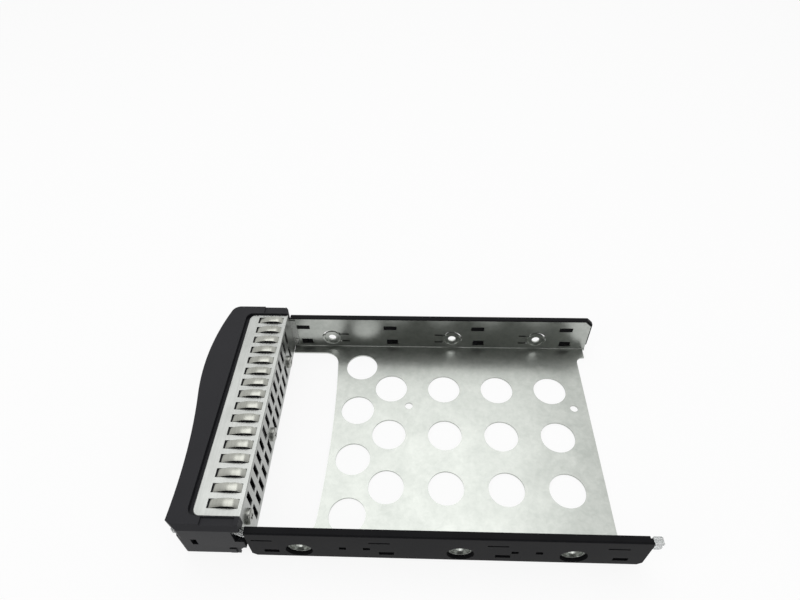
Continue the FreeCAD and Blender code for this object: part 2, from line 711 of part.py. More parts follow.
# The light pipes lie one above the other in a groove of the near runner
PIPE_INNER = f"({OUTER} + pipe_play)"
PIPE_OUTER = f"({PIPE_INNER} + pipe_thick)"
PIPE_STEP = "(pipe_tall + pipe_gap)"
PIPE_TURN = f"({RAIL_REAR} - pipe_end_run - pipe_end_drop)"
RUN_LOW = f"({PIPE_LOW} - pipe_play)"
RUN_HIGH = f"({PIPE_LOW} + {PIPE_STEP} + pipe_tall + pipe_play)"
END_LOW = f"({PIPE_LOW} + pipe_tall / 2 - pipe_end_drop - pipe_end_tall / 2)"
END_HIGH = f"({PIPE_LOW} + {PIPE_STEP} + pipe_tall / 2 + pipe_end_tall / 2)"
PIPE_REAR = f"({RAIL_REAR} + pipe_reach)"


def near_rail():
    """The near runner, with the groove that the light pipes lie in."""
    body = rail("near_rail", "-1", RAIL_FRONT, "rail_round", "rail_lip_short")
    back = f"-({PIPE_OUTER} + pipe_play)"
    cut(body, "Y", back, f"-{OUTER}", rectangle(RAIL_FRONT, RAIL_REAR, RUN_LOW, RUN_HIGH))
    cut(body, "Y", back, f"-{OUTER}",
        rectangle(PIPE_TURN, RAIL_REAR, f"{END_LOW} - pipe_play", f"{END_HIGH} + pipe_play"))
    return body


def far_rail():
    """The far runner."""
    return rail("far_rail", "1", FAR_RAIL_FRONT, "rail_chamfer", "rail_chamfer")


def light_pipe(name, index):
    """A clear bar that leads light from behind the caddy to a small window in the bezel."""
    body = new_body(name)
    low = f"({PIPE_LOW} + {index} * {PIPE_STEP})"
    high = f"({low} + pipe_tall)"
    middle = f"({low} + pipe_tall / 2 - {1 - index} * pipe_end_drop)"
    end_low, end_high = f"({middle} - pipe_end_tall / 2)", f"({middle} + pipe_end_tall / 2)"
    foot, head = f"({RAIL_FRONT} - 1)", f"({RAIL_FRONT} - 1 - pipe_rise)"
    swell = f"({RAIL_REAR} - pipe_end_run)"
    add(body, "Y", f"-{PIPE_OUTER}", f"-{PIPE_INNER}", polygon([
        (f"-{LAMP_FRONT}", f"{low} + pipe_lift"), (head, f"{low} + pipe_lift"), (foot, low), (PIPE_TURN, low),
        (swell, end_low), (PIPE_REAR, end_low), (PIPE_REAR, end_high), (swell, end_high), (PIPE_TURN, high),
        (foot, high), (head, f"{high} + pipe_lift"), (f"-{LAMP_FRONT}", f"{high} + pipe_lift")]))
    outer = f"-({RAIL_FACE} - pipe_end_inset)"
    add(body, "Y", outer, f"{outer} + pipe_end_wide",
        rectangle(f"{RAIL_REAR} + pipe_play", PIPE_REAR, end_low, end_high))
    soften(body, "Chamfer", "pipe_bevel",
           lambda edge, spot: along(edge, "Y") and near(spot.x, PIPE_REAR))
    return body


def light_pipe_lower():
    """The lower bar."""
    return light_pipe("light_pipe_lower", 0)


def light_pipe_upper():
    """The upper bar."""
    return light_pipe("light_pipe_upper", 1)


# The shield's screws stand in places of the lower vent row, and one beside the upper row
VENT_FIRST = f"(-(vent_count - 1) / 2 * {VENT_PITCH})"
SCREWS = {
    "near": (f"-{SCREW_SIDE}", "near_screw_height"),
    "mid": (f"({VENT_FIRST} + mid_screw_vent * {VENT_PITCH})", "low_screw_height"),
    "far": (f"({VENT_FIRST} + far_screw_vent * {VENT_PITCH})", "low_screw_height"),
}
FINGER_FIRST = f"(finger_inset_near - {SHIELD_HALF})"
SHIELD_LIP = "(-front_plane - shield_deep)"


def emi_shield():
    """The earthing shield: a flange on top of the bezel, folded down into a vented wall behind it."""
    body = new_body("emi_shield")
    add(body, "Z", "shield_top - shield_sheet", "shield_top",
        rectangle(SHIELD_LIP, FRONT, f"-{SHIELD_HALF}", SHIELD_HALF))
    soften(body, "Fillet", "shield_corner", lambda edge, spot: along(edge, "Z") and near(spot.x, SHIELD_LIP))
    soften(body, "Fillet", "shield_roll", lambda edge, spot: along(edge, "Y") and near(spot.x, SHIELD_LIP)
           and near(spot.z, "shield_top"))
    add(body, "X", SHIELD_FRONT, FRONT, polygon([
        (f"-{INNER}", "shield_foot"), (INNER, "shield_foot"), (INNER, GATE_HIGH), (SHIELD_HALF, GATE_HIGH),
        (SHIELD_HALF, "shield_top"), (f"-{SHIELD_HALF}", "shield_top"), (f"-{SHIELD_HALF}", GATE_HIGH),
        (f"-{INNER}", GATE_HIGH)]))
    soften(body, "Fillet", "shield_sheet", lambda edge, spot: along(edge, "Y") and near(spot.x, FRONT)
           and near(spot.z, "shield_top"))
    for side in (-1, 1):
        low, high = sorted((f"{side} * {INNER}", f"{side} * ({INNER} - shield_sheet)"), key=number)
        add(body, "Y", low, high, rectangle(SHIELD_FRONT, f"{FRONT} + tab_length", "tab_low", TAB_HIGH))
    window = cut(body, "Z", "shield_top - shield_sheet", "shield_top",
                 rectangle(f"-{WINDOW_FRONT}", f"-{WINDOW_REAR}", f"{FINGER_FIRST} - window_wide / 2",
                           f"{FINGER_FIRST} + window_wide / 2"))
    repeat(body, window, "Y_Axis", FINGER_PITCH, "finger_count")
    vent = cut(body, "X", SHIELD_FRONT, FRONT,
               rectangle(f"{VENT_FIRST} - vent_wide / 2", f"{VENT_FIRST} + vent_wide / 2",
                         "vent_mid_high", VENT_HIGH))
    repeat(body, vent, "Y_Axis", VENT_PITCH, "vent_count")
    taken = (whole("mid_screw_vent"), whole("far_screw_vent"))
    lower = [f"({VENT_FIRST} + {place} * {VENT_PITCH})" for place in range(whole("vent_count")) if place not in taken]
    cut(body, "X", SHIELD_FRONT, FRONT,
        *[rectangle(f"{side} - vent_wide / 2", f"{side} + vent_wide / 2", "vent_low", "vent_mid_low")
          for side in lower])
    cut(body, "X", SHIELD_FRONT, FRONT,
        *[circle(across, up, "shank_radius + screw_play") for across, up in SCREWS.values()])
    cut(body, "Y", f"-{INNER}", INNER, circle(RIVET, "rivet_height", "rivet_radius"))
    return body


def finger_strip():
    """The sprung strip under the flange: a frame whose fingers rise through the shield's windows."""
    body = new_body("finger_strip")
    low, high = DECK, f"({DECK} + strip_sheet)"
    half = f"({SHIELD_HALF} - strip_margin)"
    play = "((window_wide - finger_wide) / 2)"
    add(body, "Z", low, high, rectangle(f"{SHIELD_LIP} + strip_margin", f"{SHIELD_FRONT} - strip_margin / 2",
                                        f"-{half}", half))
    window = cut(body, "Z", low, high,
                 rectangle(f"-{WINDOW_FRONT} - {play}", f"-{WINDOW_REAR} - {play}",
                           f"{FINGER_FIRST} - window_wide / 2", f"{FINGER_FIRST} + window_wide / 2"))
    repeat(body, window, "Y_Axis", FINGER_PITCH, "finger_count")
    top = "(shield_top + finger_crown - strip_sheet)"
    spine = [(f"-{WINDOW_REAR}", low), (f"-{WINDOW_REAR} - {play} * 2", low), (f"-{CROWN_REAR}", top),
             (f"-{CROWN_FRONT}", top), (f"-{WINDOW_FRONT} + {play} * 3", "shield_top - strip_sheet"),
             (f"-{WINDOW_FRONT} + {play}", low)]
    over = [(across, f"({up}) + strip_sheet") for across, up in reversed(spine)]
    finger = add(body, "Y", f"{FINGER_FIRST} - finger_wide / 2", f"{FINGER_FIRST} + finger_wide / 2",
                 polygon(spine + over))
    repeat(body, finger, "Y_Axis", FINGER_PITCH, "finger_count")
    return body


# The lever turns on an upright pin at the bezel's near rear corner
PIVOT_X = f"(-{PIVOT_BACK})"
PIVOT_Y = f"(-{PIVOT_SIDE})"
HUB_LOW = f"({FLOOR} + latch_gap)"
BOSS_TOP = "(near_wall_low + pivot_boss_tall)"
THROAT_NEAR = f"(-({PIVOT_SIDE} - hub_radius - hub_clearance))"
LATCH_NEAR = f"({LEVER_END} + latch_gap)"
LATCH_FAR = f"({LATCH_NEAR} + latch_wide)"
FLANGE_FRONT = f"({THROAT_FRONT} + latch_gap)"
FLANGE_BACK = f"({FLANGE_FRONT} + flange_deep)"
SPRING_RADIUS = "(pin_radius + spring_play + spring_wire / 2)"
SPRING_TALL = "((spring_turns + 1) * spring_wire * 1.1)"


def bezel_housing():
    """The moulded bezel: a leaning hood over a hollow throat, with the shield's seat and the lever's pivot."""
    body = new_body("bezel_housing")
    hood(body)
    seats(body)
    throat(body)
    near_corner(body)
    wall_openings(body)
    return body


def hood(body):
    """The outer form: the hood leans back as it goes down, and the skirt below it is left at the far corner."""
    plans = []
    for setback, level in (("hood_lean", "hood_low"), ("0", BEZEL_TOP)):
        sketch = new_sketch(body, "Z", level)
        wave(setback, FRONT, f"-{BEZEL_HALF}", BEZEL_HALF)(sketch)
        plans.append(sketch)
    loft = body.newObject("PartDesign::AdditiveLoft", "hood")
    loft.Profile = plans[0]
    loft.Sections = [plans[1]]
    loft.Ruled = True
    settle(body, loft, 1)
    add(body, "Z", SOLE, "hood_low", wave("hood_lean", FRONT, f"-{BEZEL_HALF}", BEZEL_HALF))
    soften(body, "Fillet", "bezel_corner",
           lambda edge, spot: near(spot.y, BEZEL_HALF) and spot.x < number(f"-{THROAT_REACH}") and upright(edge))
    soften(body, "Fillet", "rear_corner",
           lambda edge, spot: near(spot.y, BEZEL_HALF) and near(spot.x, FRONT) and upright(edge))
    front = f"(-{BEZEL_REACH} - bezel_wall)"
    cut(body, "Z", SOLE, "hood_low",
        rectangle(front, f"-{THROAT_REACH}", f"-{BEZEL_HALF} - bezel_wall",
                  f"{LATCH_FAR} + latch_travel + latch_gap"))
    near_nose(body)


def near_nose(body):
    """The near end's top edge is bevelled, and its front corner is cut off."""
    cut(body, "X", f"-{BEZEL_REACH}", FRONT, polygon([
        (f"-{BEZEL_HALF} + near_bevel", BEZEL_TOP), (f"-{BEZEL_HALF}", f"{BEZEL_TOP} - near_bevel_tall"),
        (f"-{BEZEL_HALF}", BEZEL_TOP)]))
    slant = "(nose_side / nose_run)"
    left, right = f"(-{NOSE} - 1)", f"(nose_run - {NOSE} + 1)"
    cut(body, "Z", "hood_low", BEZEL_TOP, polygon([
        (left, f"-{BEZEL_HALF} - {slant}"), (right, f"-{BEZEL_HALF} - {slant}"),
        (left, f"-{BEZEL_HALF} + {slant} * (nose_run + 1)")]))


def upright(edge):
    """Whether an edge runs more up than along."""
    start, end = edge.valueAt(edge.FirstParameter), edge.valueAt(edge.LastParameter)
    return abs(end.z - start.z) > 0.7 * (end - start).Length


def seats(body):
    """The seats of the shield's flange and wall, and the shallow steps at the two ends of the top."""
    play = "pipe_play"
    lip = f"({SHIELD_LIP} - groove_wide)"
    cut(body, "Z", DECK, BEZEL_TOP, rectangle(lip, FRONT, f"-{SHIELD_HALF} - {play}", f"{SHIELD_HALF} + {play}"))
    soften(body, "Fillet", "shield_corner", lambda edge, spot: along(edge, "Z") and near(spot.x, lip))
    cut(body, "X", SHIELD_FRONT, FRONT, polygon([
        (f"-{INNER} - {play}", SOLE), (f"{INNER} + {play}", SOLE), (f"{INNER} + {play}", f"{GATE_HIGH} + {play}"),
        (f"{SHIELD_HALF} + {play}", f"{GATE_HIGH} + {play}"), (f"{SHIELD_HALF} + {play}", DECK),
        (f"-{SHIELD_HALF} - {play}", DECK), (f"-{SHIELD_HALF} - {play}", f"{GATE_HIGH} + {play}"),
        (f"-{INNER} - {play}", f"{GATE_HIGH} + {play}")]))
    for side, front in (("-", f"-{TOP_STEP_FRONT}"), ("", f"-{TOP_STEP_FRONT} + top_step_far")):
        low, high = sorted((f"{side}{BEZEL_HALF}", f"{side}({SHIELD_HALF} + top_step_deep)"), key=number)
        cut(body, "Z", f"{BEZEL_TOP} - top_step_deep", BEZEL_TOP, rectangle(front, f"-{WINDOW_REAR}", low, high))


def throat(body):
    """The hollow that cooling air passes through, and the bosses for the shield's screws."""
    cut(body, "Z", FLOOR, CEILING, rectangle(THROAT_FRONT, THROAT_BACK, f"-{BEZEL_INNER}", BEZEL_INNER))
    add(body, "X", f"{THROAT_BACK} - boss_deep", THROAT_BACK,
        *[circle(across, up, "boss_radius") for across, up in SCREWS.values()])


def near_corner(body):
    """The near end is open low down, where the lever's arm lies, and its pin stands between a boss and a lug."""
    cut(body, "Y", f"-{BEZEL_HALF}", THROAT_NEAR, polygon([
        (f"-{THROAT_REACH} - hood_lean", SOLE), (FRONT, SOLE), (FRONT, "near_wall_low"),
        (f"-{NEAR_WALL_FRONT}", "near_wall_low"), (f"-{NEAR_WALL_FRONT}", "hood_low"),
        (f"-{THROAT_REACH} - hood_lean", "hood_low")]))
    soften(body, "Fillet", "near_round",
           lambda edge, spot: along(edge, "Y") and near(spot.x, f"-{NEAR_WALL_FRONT}")
           and near(spot.z, "near_wall_low"))
    left, right = f"({PIVOT_X} - boss_radius)", f"({PIVOT_X} + boss_radius)"
    add(body, "Z", "near_wall_low", BOSS_TOP, rectangle(left, right, f"-{BEZEL_INNER}", PIVOT_Y))
    add(body, "Z", "near_wall_low", BOSS_TOP, circle(PIVOT_X, PIVOT_Y, "boss_radius"))
    add(body, "Z", SOLE, FLOOR, rectangle(left, right, PIVOT_Y, THROAT_NEAR))
    add(body, "Z", SOLE, FLOOR, circle(PIVOT_X, PIVOT_Y, "boss_radius"))
    cut(body, "Z", SOLE, f"{BOSS_TOP} - pin_cover", circle(PIVOT_X, PIVOT_Y, "pin_radius"))
    cut(body, "Y", f"-{BEZEL_HALF}", f"-({PIPE_INNER} - pipe_play)",
        rectangle(f"-{NEAR_WALL_REAR}", FRONT, "near_wall_low + recess_rise", "shield_top - recess_drop"))
    cut(body, "Y", f"-({PIPE_OUTER} + pipe_play)", f"-({PIPE_INNER} - pipe_play)",
        rectangle(f"-{BEZEL_REACH}", FRONT, f"{RUN_LOW} + pipe_lift", f"{RUN_HIGH} + pipe_lift"))


def wall_openings(body):
    """Air windows in the wall behind, slots in the wall in front, the latch's guide and the screw holes."""
    rib = "(boss_radius + bezel_wall / 2)"
    far_end = f"({BEZEL_INNER} - bezel_wall)"
    mid, far = SCREWS["mid"][0], SCREWS["far"][0]
    spans = [(f"({THROAT_NEAR} + bezel_wall / 2)", f"{mid} - {rib}"), (f"{mid} + {rib}", f"{far} - {rib}"),
             (f"{far} + {rib}", far_end)]
    cut(body, "X", THROAT_BACK, SHIELD_FRONT,
        *[rectangle(low, high, "vent_low", "vent_mid_low") for low, high in spans])
    start = f"(-{SCREW_SIDE} + {rib})"
    third = f"(({far_end} - {start}) / 3)"
    cut(body, "X", THROAT_BACK, SHIELD_FRONT,
        *[rectangle(f"{start} + {index} * {third}", f"{start} + {index + 1} * {third} - bezel_wall",
                    "vent_mid_high", CEILING) for index in range(3)])
    cut(body, "X", f"-{THROAT_REACH}", THROAT_FRONT, *[grille_slot(index) for index in range(whole("grille_count"))])
    cut(body, "X", f"-{THROAT_REACH}", THROAT_FRONT,
        rectangle(f"{TONGUE_SIDE} - latch_gap", f"{TONGUE_SIDE} + tongue_wide + latch_travel + latch_gap",
                  "tongue_low - latch_gap", "tongue_high + latch_gap"))
    cut(body, "X", f"{FRONT} - shank_length", SHIELD_FRONT,
        *[circle(across, up, "shank_radius") for across, up in SCREWS.values()])


def grille_slot(index):
    """One upright air slot, in line through the lever and the wall behind it."""
    middle = f"({GRILLE_FIRST} + {index} * {GRILLE_PITCH})"
    return rectangle(f"{middle} - grille_wide / 2", f"{middle} + grille_wide / 2",
                     "lever_low + grille_margin", f"{LEVER_TOP} - grille_margin")


def vent_screen():
    """A perforated sheet against the back of the slotted wall."""
    body = new_body("vent_screen")
    low, high = f"({THROAT_NEAR} + screen_margin)", f"({LEVER_END} - screen_margin)"
    add(body, "X", THROAT_FRONT, f"{THROAT_FRONT} + screen_sheet",
        rectangle(low, high, FLOOR, f"{LEVER_TOP} - screen_margin"))
    first = f"({low} + screen_inset)"
    step = f"(({high} - {low} - 2 * screen_inset) / (screen_columns - 1))"
    middle = f"(({FLOOR} + {LEVER_TOP} - screen_margin) / 2)"
    hole = cut(body, "X", THROAT_FRONT, f"{THROAT_FRONT} + screen_sheet",
               circle(first, f"{middle} - screen_pitch / 2", "screen_hole / 2"),
               circle(first, f"{middle} + screen_pitch / 2", "screen_hole / 2"))
    repeat(body, hole, "Y_Axis", step, "screen_columns")
    return body


def lever():
    """The swinging handle: a grille along the front, an arm round the near corner, and a hub with an ejecting toe."""
    body = new_body("lever")
    add(body, "Z", "lever_low", LEVER_TOP, wave("lever_setback", LEVER_BACK, f"-{ARM_SIDE}", LEVER_END))
    add(body, "Z", "lever_low", ARM_TOP,
        rectangle(f"{LEVER_BACK} - hub_radius / 4", f"{PIVOT_X} + arm_tail", f"-{ARM_SIDE}",
                  f"-{ARM_SIDE} + arm_thick"))
    cut(body, "Z", "lever_low", HUB_LOW, circle(PIVOT_X, PIVOT_Y, "hub_radius + hub_clearance"))
    add(body, "Z", HUB_LOW, ARM_TOP, circle(PIVOT_X, PIVOT_Y, "hub_radius"))
    add(body, "Z", HUB_LOW, "tongue_low", rectangle(f"{PIVOT_X} - toe_wide / 2", f"{PIVOT_X} + toe_wide / 2",
                                                    f"{PIVOT_Y} - toe_reach", PIVOT_Y))
    soften(body, "Fillet", "arm_round",
           lambda edge, spot: near(spot.y, f"-{ARM_SIDE}") and upright(edge) and spot.x < number(LEVER_BACK))
    cut(body, "X", f"-{BEZEL_REACH}", LEVER_BACK, *[grille_slot(index) for index in range(whole("grille_count"))])
    cut(body, "Z", HUB_LOW, ARM_TOP, circle(PIVOT_X, PIVOT_Y, "pin_radius + pin_clearance"))
    cut(body, "Z", f"{ARM_TOP} - {SPRING_TALL} - spring_room", ARM_TOP,
        circle(PIVOT_X, PIVOT_Y, f"{SPRING_RADIUS} + spring_wire / 2 + spring_room"))
    return body


def pivot_pin():
    """The steel pin that the lever turns on, pressed into the bezel's boss and lug."""
    body = new_body("pivot_pin")
    add(body, "Z", f"{SOLE} + pin_clearance", f"{BOSS_TOP} - pin_cover", circle(PIVOT_X, PIVOT_Y, "pin_radius"))
    return body


def coil(name, radius, length, turns, wire, start, direction):
    """A wire spring about an axis, from a start point along a direction."""
    wire_radius = wire / 2
    pitch = (length - wire) / turns
    spine = Part.makeHelix(pitch, length - wire, radius)
    ring = Part.Wire(Part.Circle(FreeCAD.Vector(radius, 0, 0), FreeCAD.Vector(0, 1, 0), wire_radius).toShape())
    solid = spine.makePipeShell([ring], True, True)
    spring = doc.addObject("Part::Feature", name)
    spring.Label = name
    solid.translate(FreeCAD.Vector(0, 0, wire_radius))
    turn = FreeCAD.Rotation(FreeCAD.Vector(0, 0, 1), direction)
    solid = solid.transformGeometry(FreeCAD.Placement(start, turn).toMatrix())
    spring.Shape = solid
    place(spring)
    return spring


def lever_spring():
    """The coil round the pin, in the hub's counterbore, that swings the lever open."""
    start = FreeCAD.Vector(number(PIVOT_X), number(PIVOT_Y), number(f"{ARM_TOP} - {SPRING_TALL}"))
    return coil("lever_spring", number(SPRING_RADIUS), number(SPRING_TALL), number("spring_turns"),
                number("spring_wire"), start, FreeCAD.Vector(0, 0, 1))


def latch_button():
    """The release button: a ribbed cap in the front, and a tongue through the wall that keeps it in its slot."""
    body = new_body("latch_button")
    add(body, "Z", "latch_low", LEVER_TOP, wave("latch_setback", LEVER_BACK, f"-{ARM_SIDE}", LATCH_FAR))
    cut(body, "Z", "latch_low", LEVER_TOP,
        rectangle(f"-{BEZEL_REACH}", LEVER_BACK, f"-{ARM_SIDE} - arm_thick", LATCH_NEAR))
    add(body, "X", LEVER_BACK, FLANGE_FRONT,
        rectangle(TONGUE_SIDE, f"{TONGUE_SIDE} + tongue_wide", "tongue_low", "tongue_high"))
    add(body, "X", FLANGE_FRONT, FLANGE_BACK,
        rectangle(TONGUE_SIDE, f"{TONGUE_SIDE} + tongue_wide",
                  "tongue_low - flange_extra", "tongue_high + flange_extra"))
    face = f"(-{BEZEL_REACH} + latch_setback + ({TONGUE_SIDE} - {BULGE_SIDE}) ^ 2 / (2 * bulge_radius))"
    grips = [f"({LATCH_NEAR} + latch_wide / 2 + ({index} - (grip_count - 1) / 2) * grip_pitch)"
             for index in range(whole("grip_count"))]
    cut(body, "Z", "latch_low + grip_pitch", f"{LEVER_TOP} - grip_pitch",
        *[rectangle(f"-{BEZEL_REACH}", f"{face} + grip_deep", f"{side} - grip_wide / 2", f"{side} + grip_wide / 2")
          for side in grips])
    return body


def latch_spring():
    """The coil that pushes the button back towards the lever."""
    start = FreeCAD.Vector(number(f"({FLANGE_FRONT} + {FLANGE_BACK}) / 2"), number(f"{TONGUE_SIDE} + tongue_wide"),
                           number("(tongue_low + tongue_high) / 2"))
    length = number(f"{BEZEL_INNER} - {TONGUE_SIDE} - tongue_wide")
    return coil("latch_spring", number("latch_coil"), length, number("latch_turns"), number("spring_wire"),
                start, FreeCAD.Vector(0, 1, 0))


def shield_screw(name):
    """A pan head screw with a cross recess, through the shield into its boss."""
    across, up = SCREWS[name]
    body = new_body(f"shield_screw_{name}")
    crown = f"({FRONT} + head_tall)"
    add(body, "X", FRONT, crown, circle(across, up, "head_radius"))
    soften(body, "Fillet", "head_tall / 2", lambda edge, spot: near(spot.x, crown))
    add(body, "X", f"{FRONT} - shank_length", FRONT, circle(across, up, "shank_radius"))
    long, short = "recess_reach", "(recess_wide / 2)"
    cut(body, "X", f"{crown} - recess_deep", crown, polygon([
        (f"{across} - {short}", f"{up} - {long}"), (f"{across} + {short}", f"{up} - {long}"),
        (f"{across} + {short}", f"{up} - {short}"), (f"{across} + {long}", f"{up} - {short}"),
        (f"{across} + {long}", f"{up} + {short}"), (f"{across} + {short}", f"{up} + {short}"),
        (f"{across} + {short}", f"{up} + {long}"), (f"{across} - {short}", f"{up} + {long}"),
        (f"{across} - {short}", f"{up} + {short}"), (f"{across} - {long}", f"{up} + {short}"),
        (f"{across} - {long}", f"{up} - {short}"), (f"{across} - {short}", f"{up} - {short}")]))
    return body


def tab_rivet(name, side):
    """A rivet that joins the shield's side tab to the tray's wall, its head inside."""
    body = new_body(name)
    inside = f"({INNER} - shield_sheet)"
    low, high = sorted((f"{side} * {inside}", f"{side} * {OUTER}"), key=number)
    add(body, "Y", low, high, circle(RIVET, "rivet_height", "rivet_radius"))
    low, high = sorted((f"{side} * ({inside} - rivet_radius / 2)", f"{side} * {inside}"), key=number)
    add(body, "Y", low, high, circle(RIVET, "rivet_height", "rivet_head"))
    return body


PARTS = [
    tray(), near_rail(), far_rail(), light_pipe_lower(), light_pipe_upper(), emi_shield(), finger_strip(),
    bezel_housing(), vent_screen(), lever(), pivot_pin(), lever_spring(), latch_button(), latch_spring(),
    shield_screw("near"), shield_screw("mid"), shield_screw("far"),
    tab_rivet("tab_rivet_near", -1), tab_rivet("tab_rivet_far", 1),
]

doc.recompute()
for item in doc.Objects:
    if {"Invalid", "Error"} & set(item.State):
        raise RuntimeError(f"{item.Label} ({item.TypeId}) could not be computed: {item.State}")
for piece in PARTS:
    if piece.Shape.isNull() or not piece.Shape.isValid() or len(piece.Shape.Solids) != 1:
        raise RuntimeError(f"{piece.Label} is not one valid solid")

os.makedirs("parts", exist_ok=True)
for piece in PARTS:
    piece.Shape.exportStep(f"parts/{piece.Label}.step")
    box = piece.Shape.BoundBox
    print(f"{piece.Label}: {piece.Shape.Volume:.1f} mm3, x {box.XMin:.2f} to {box.XMax:.2f},"
          f" y {box.YMin:.2f} to {box.YMax:.2f}, z {box.ZMin:.2f} to {box.ZMax:.2f}")
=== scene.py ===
# %% [markdown]
# A drive caddy carries one hard disk into a server. This lesson dresses its solid model: a folded sheet
# steel tray on two plastic runners, and a black bezel in front with a sprung steel earthing shield on top.
# The solids come first, because every finish and every new piece takes its place from them. Their box is
# kept now, before anything is added.

# %% The solid model
import math

import bpy
from mathutils import Euler, Matrix, Vector


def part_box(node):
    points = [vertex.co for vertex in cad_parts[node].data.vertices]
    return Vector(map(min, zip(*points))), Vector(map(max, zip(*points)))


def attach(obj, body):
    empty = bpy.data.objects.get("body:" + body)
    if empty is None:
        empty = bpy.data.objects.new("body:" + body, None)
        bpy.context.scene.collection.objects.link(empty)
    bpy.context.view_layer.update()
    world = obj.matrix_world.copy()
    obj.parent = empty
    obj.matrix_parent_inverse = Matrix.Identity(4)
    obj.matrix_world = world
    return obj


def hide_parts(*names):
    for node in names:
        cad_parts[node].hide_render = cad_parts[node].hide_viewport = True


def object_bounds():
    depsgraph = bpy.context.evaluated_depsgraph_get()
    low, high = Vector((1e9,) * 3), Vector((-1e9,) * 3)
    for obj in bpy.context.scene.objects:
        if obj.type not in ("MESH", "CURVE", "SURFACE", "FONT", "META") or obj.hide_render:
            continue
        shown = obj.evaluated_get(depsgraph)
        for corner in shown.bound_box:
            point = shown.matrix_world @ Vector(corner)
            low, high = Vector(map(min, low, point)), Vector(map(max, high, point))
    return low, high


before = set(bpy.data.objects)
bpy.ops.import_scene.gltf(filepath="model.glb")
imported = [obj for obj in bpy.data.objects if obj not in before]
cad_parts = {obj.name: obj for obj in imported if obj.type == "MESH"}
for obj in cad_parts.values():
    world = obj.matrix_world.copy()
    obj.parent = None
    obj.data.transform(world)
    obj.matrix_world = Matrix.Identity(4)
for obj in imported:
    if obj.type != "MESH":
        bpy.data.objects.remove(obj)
solid_low, solid_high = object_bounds()
size_mm = [round((high - low) * 1000, 1) for low, high in zip(solid_low, solid_high)]
print("pieces:", len(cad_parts), " box in mm:", size_mm)

# %% [markdown]
# The camera stands 22 cm above the table and 26 cm from the caddy's middle, in front of the near side, and
# looks down by 45 degrees. Its place and lens were worked out from the screw holes in the tray's walls,
# whose spacing is a standard of 3.5-inch drives. A short lens this close makes the near side look larger,
# so the lens matters as much as the angle.

# %% The camera
SENSOR_MM = 36.0
LENS_MM = 25.557
LENS_SHIFT = (-0.0036, -0.0004)
NEAREST_SEEN = 0.01
CAMERA_PLACE = (0.004768, -0.135481, 0.223400)
CAMERA_TURN = (44.7031, 0.9348, 1.7591)
lens = bpy.data.cameras.new("camera")
lens.sensor_width = SENSOR_MM
lens.lens = LENS_MM
lens.shift_x, lens.shift_y = LENS_SHIFT
lens.clip_start = NEAREST_SEEN
camera = bpy.data.objects.new("camera", lens)
bpy.context.scene.collection.objects.link(camera)
camera.location = CAMERA_PLACE
camera.rotation_euler = Euler([math.radians(turn) for turn in CAMERA_TURN])
bpy.context.scene.camera = camera
bpy.context.scene.view_settings.view_transform = "Standard"
view_width = 2 * math.degrees(math.atan(SENSOR_MM / 2 / LENS_MM))
print("view across:", round(view_width, 1), "degrees")

# %% [markdown]
# Two small helpers serve every material below. One turns a colour as it is written in a paint program, sRGB
# hex, to the linear values that Blender computes with. The other adds one shader node with its settings and
# links. Patterns are sized in millimetres: a texture's scale is how many of them fit in a metre.

# %% Helpers for colours, patterns and nodes
def linear(hex_colour):
    """An sRGB hex colour as linear red, green, blue and alpha."""
    parts = [int(hex_colour[i:i + 2], 16) / 255 for i in (1, 3, 5)]
    return [c / 12.92 if c <= 0.04045 else ((c + 0.055) / 1.055) ** 2.4 for c in parts] + [1.0]


def per_metre(millimetres):
    """The texture scale whose features are this large."""
    return 1000.0 / millimetres


def add_node(tree, kind, values, **settings):
    """Adds one node. Values are its inputs by name or number: a number, a colour or another node's output."""
    node = tree.nodes.new(kind)
    for name, setting in settings.items():
        setattr(node, name, setting)
    for name, value in values.items():
        if isinstance(value, bpy.types.NodeSocket):
            tree.links.new(value, node.inputs[name])
        else:
            node.inputs[name].default_value = value
    return node


def new_finish(name):
    """An empty material, with its node tree and its main shader."""
    material = bpy.data.materials.new(name)
    material.use_nodes = True
    tree = material.node_tree
    return material, tree, tree.nodes["Principled BSDF"]


print("mid grey #808080 is", round(linear("#808080")[0], 3), "in linear light")

# %% [markdown]
# The floor is plain white, and so is what lies behind it. Its whiteness comes from its own colour, not from
# extra lamps: most of what the camera sees there is a plain white glow, and the rest is the lit floor,
# which keeps the soft shadow under the caddy. Metal and clear plastic see the same white floor.

# %% The floor
FLOOR_SIZE = 6.0
FLOOR_DROP = 0.0002
GLOW_SHARE = 0.88
bpy.ops.object.select_all(action="DESELECT")
bpy.ops.mesh.primitive_plane_add(size=FLOOR_SIZE, location=(0, 0, -FLOOR_DROP))
floor = bpy.context.object
floor.name = "floor"
floor_paint, tree, shader = new_finish("white_floor")
tree.nodes.remove(shader)
path = add_node(tree, "ShaderNodeLightPath", {})
seen = add_node(tree, "ShaderNodeMath", {0: path.outputs["Is Camera Ray"], 1: path.outputs["Is Glossy Ray"]},
                operation="ADD", use_clamp=True)
seen = add_node(tree, "ShaderNodeMath", {0: seen.outputs[0], 1: path.outputs["Is Transmission Ray"]},
                operation="ADD", use_clamp=True)
share = add_node(tree, "ShaderNodeMath", {0: seen.outputs[0], 1: GLOW_SHARE}, operation="MULTIPLY")
lit = add_node(tree, "ShaderNodeBsdfDiffuse", {"Color": linear("#f2f2f2")})
glow = add_node(tree, "ShaderNodeEmission", {"Color": linear("#ffffff"), "Strength": 1.0})
both = add_node(tree, "ShaderNodeMixShader", {0: share.outputs[0], 1: lit.outputs[0], 2: glow.outputs[0]})
tree.links.new(both.outputs[0], tree.nodes["Material Output"].inputs["Surface"])
floor.data.materials.append(floor_paint)
print("floor:", FLOOR_SIZE, "m across")

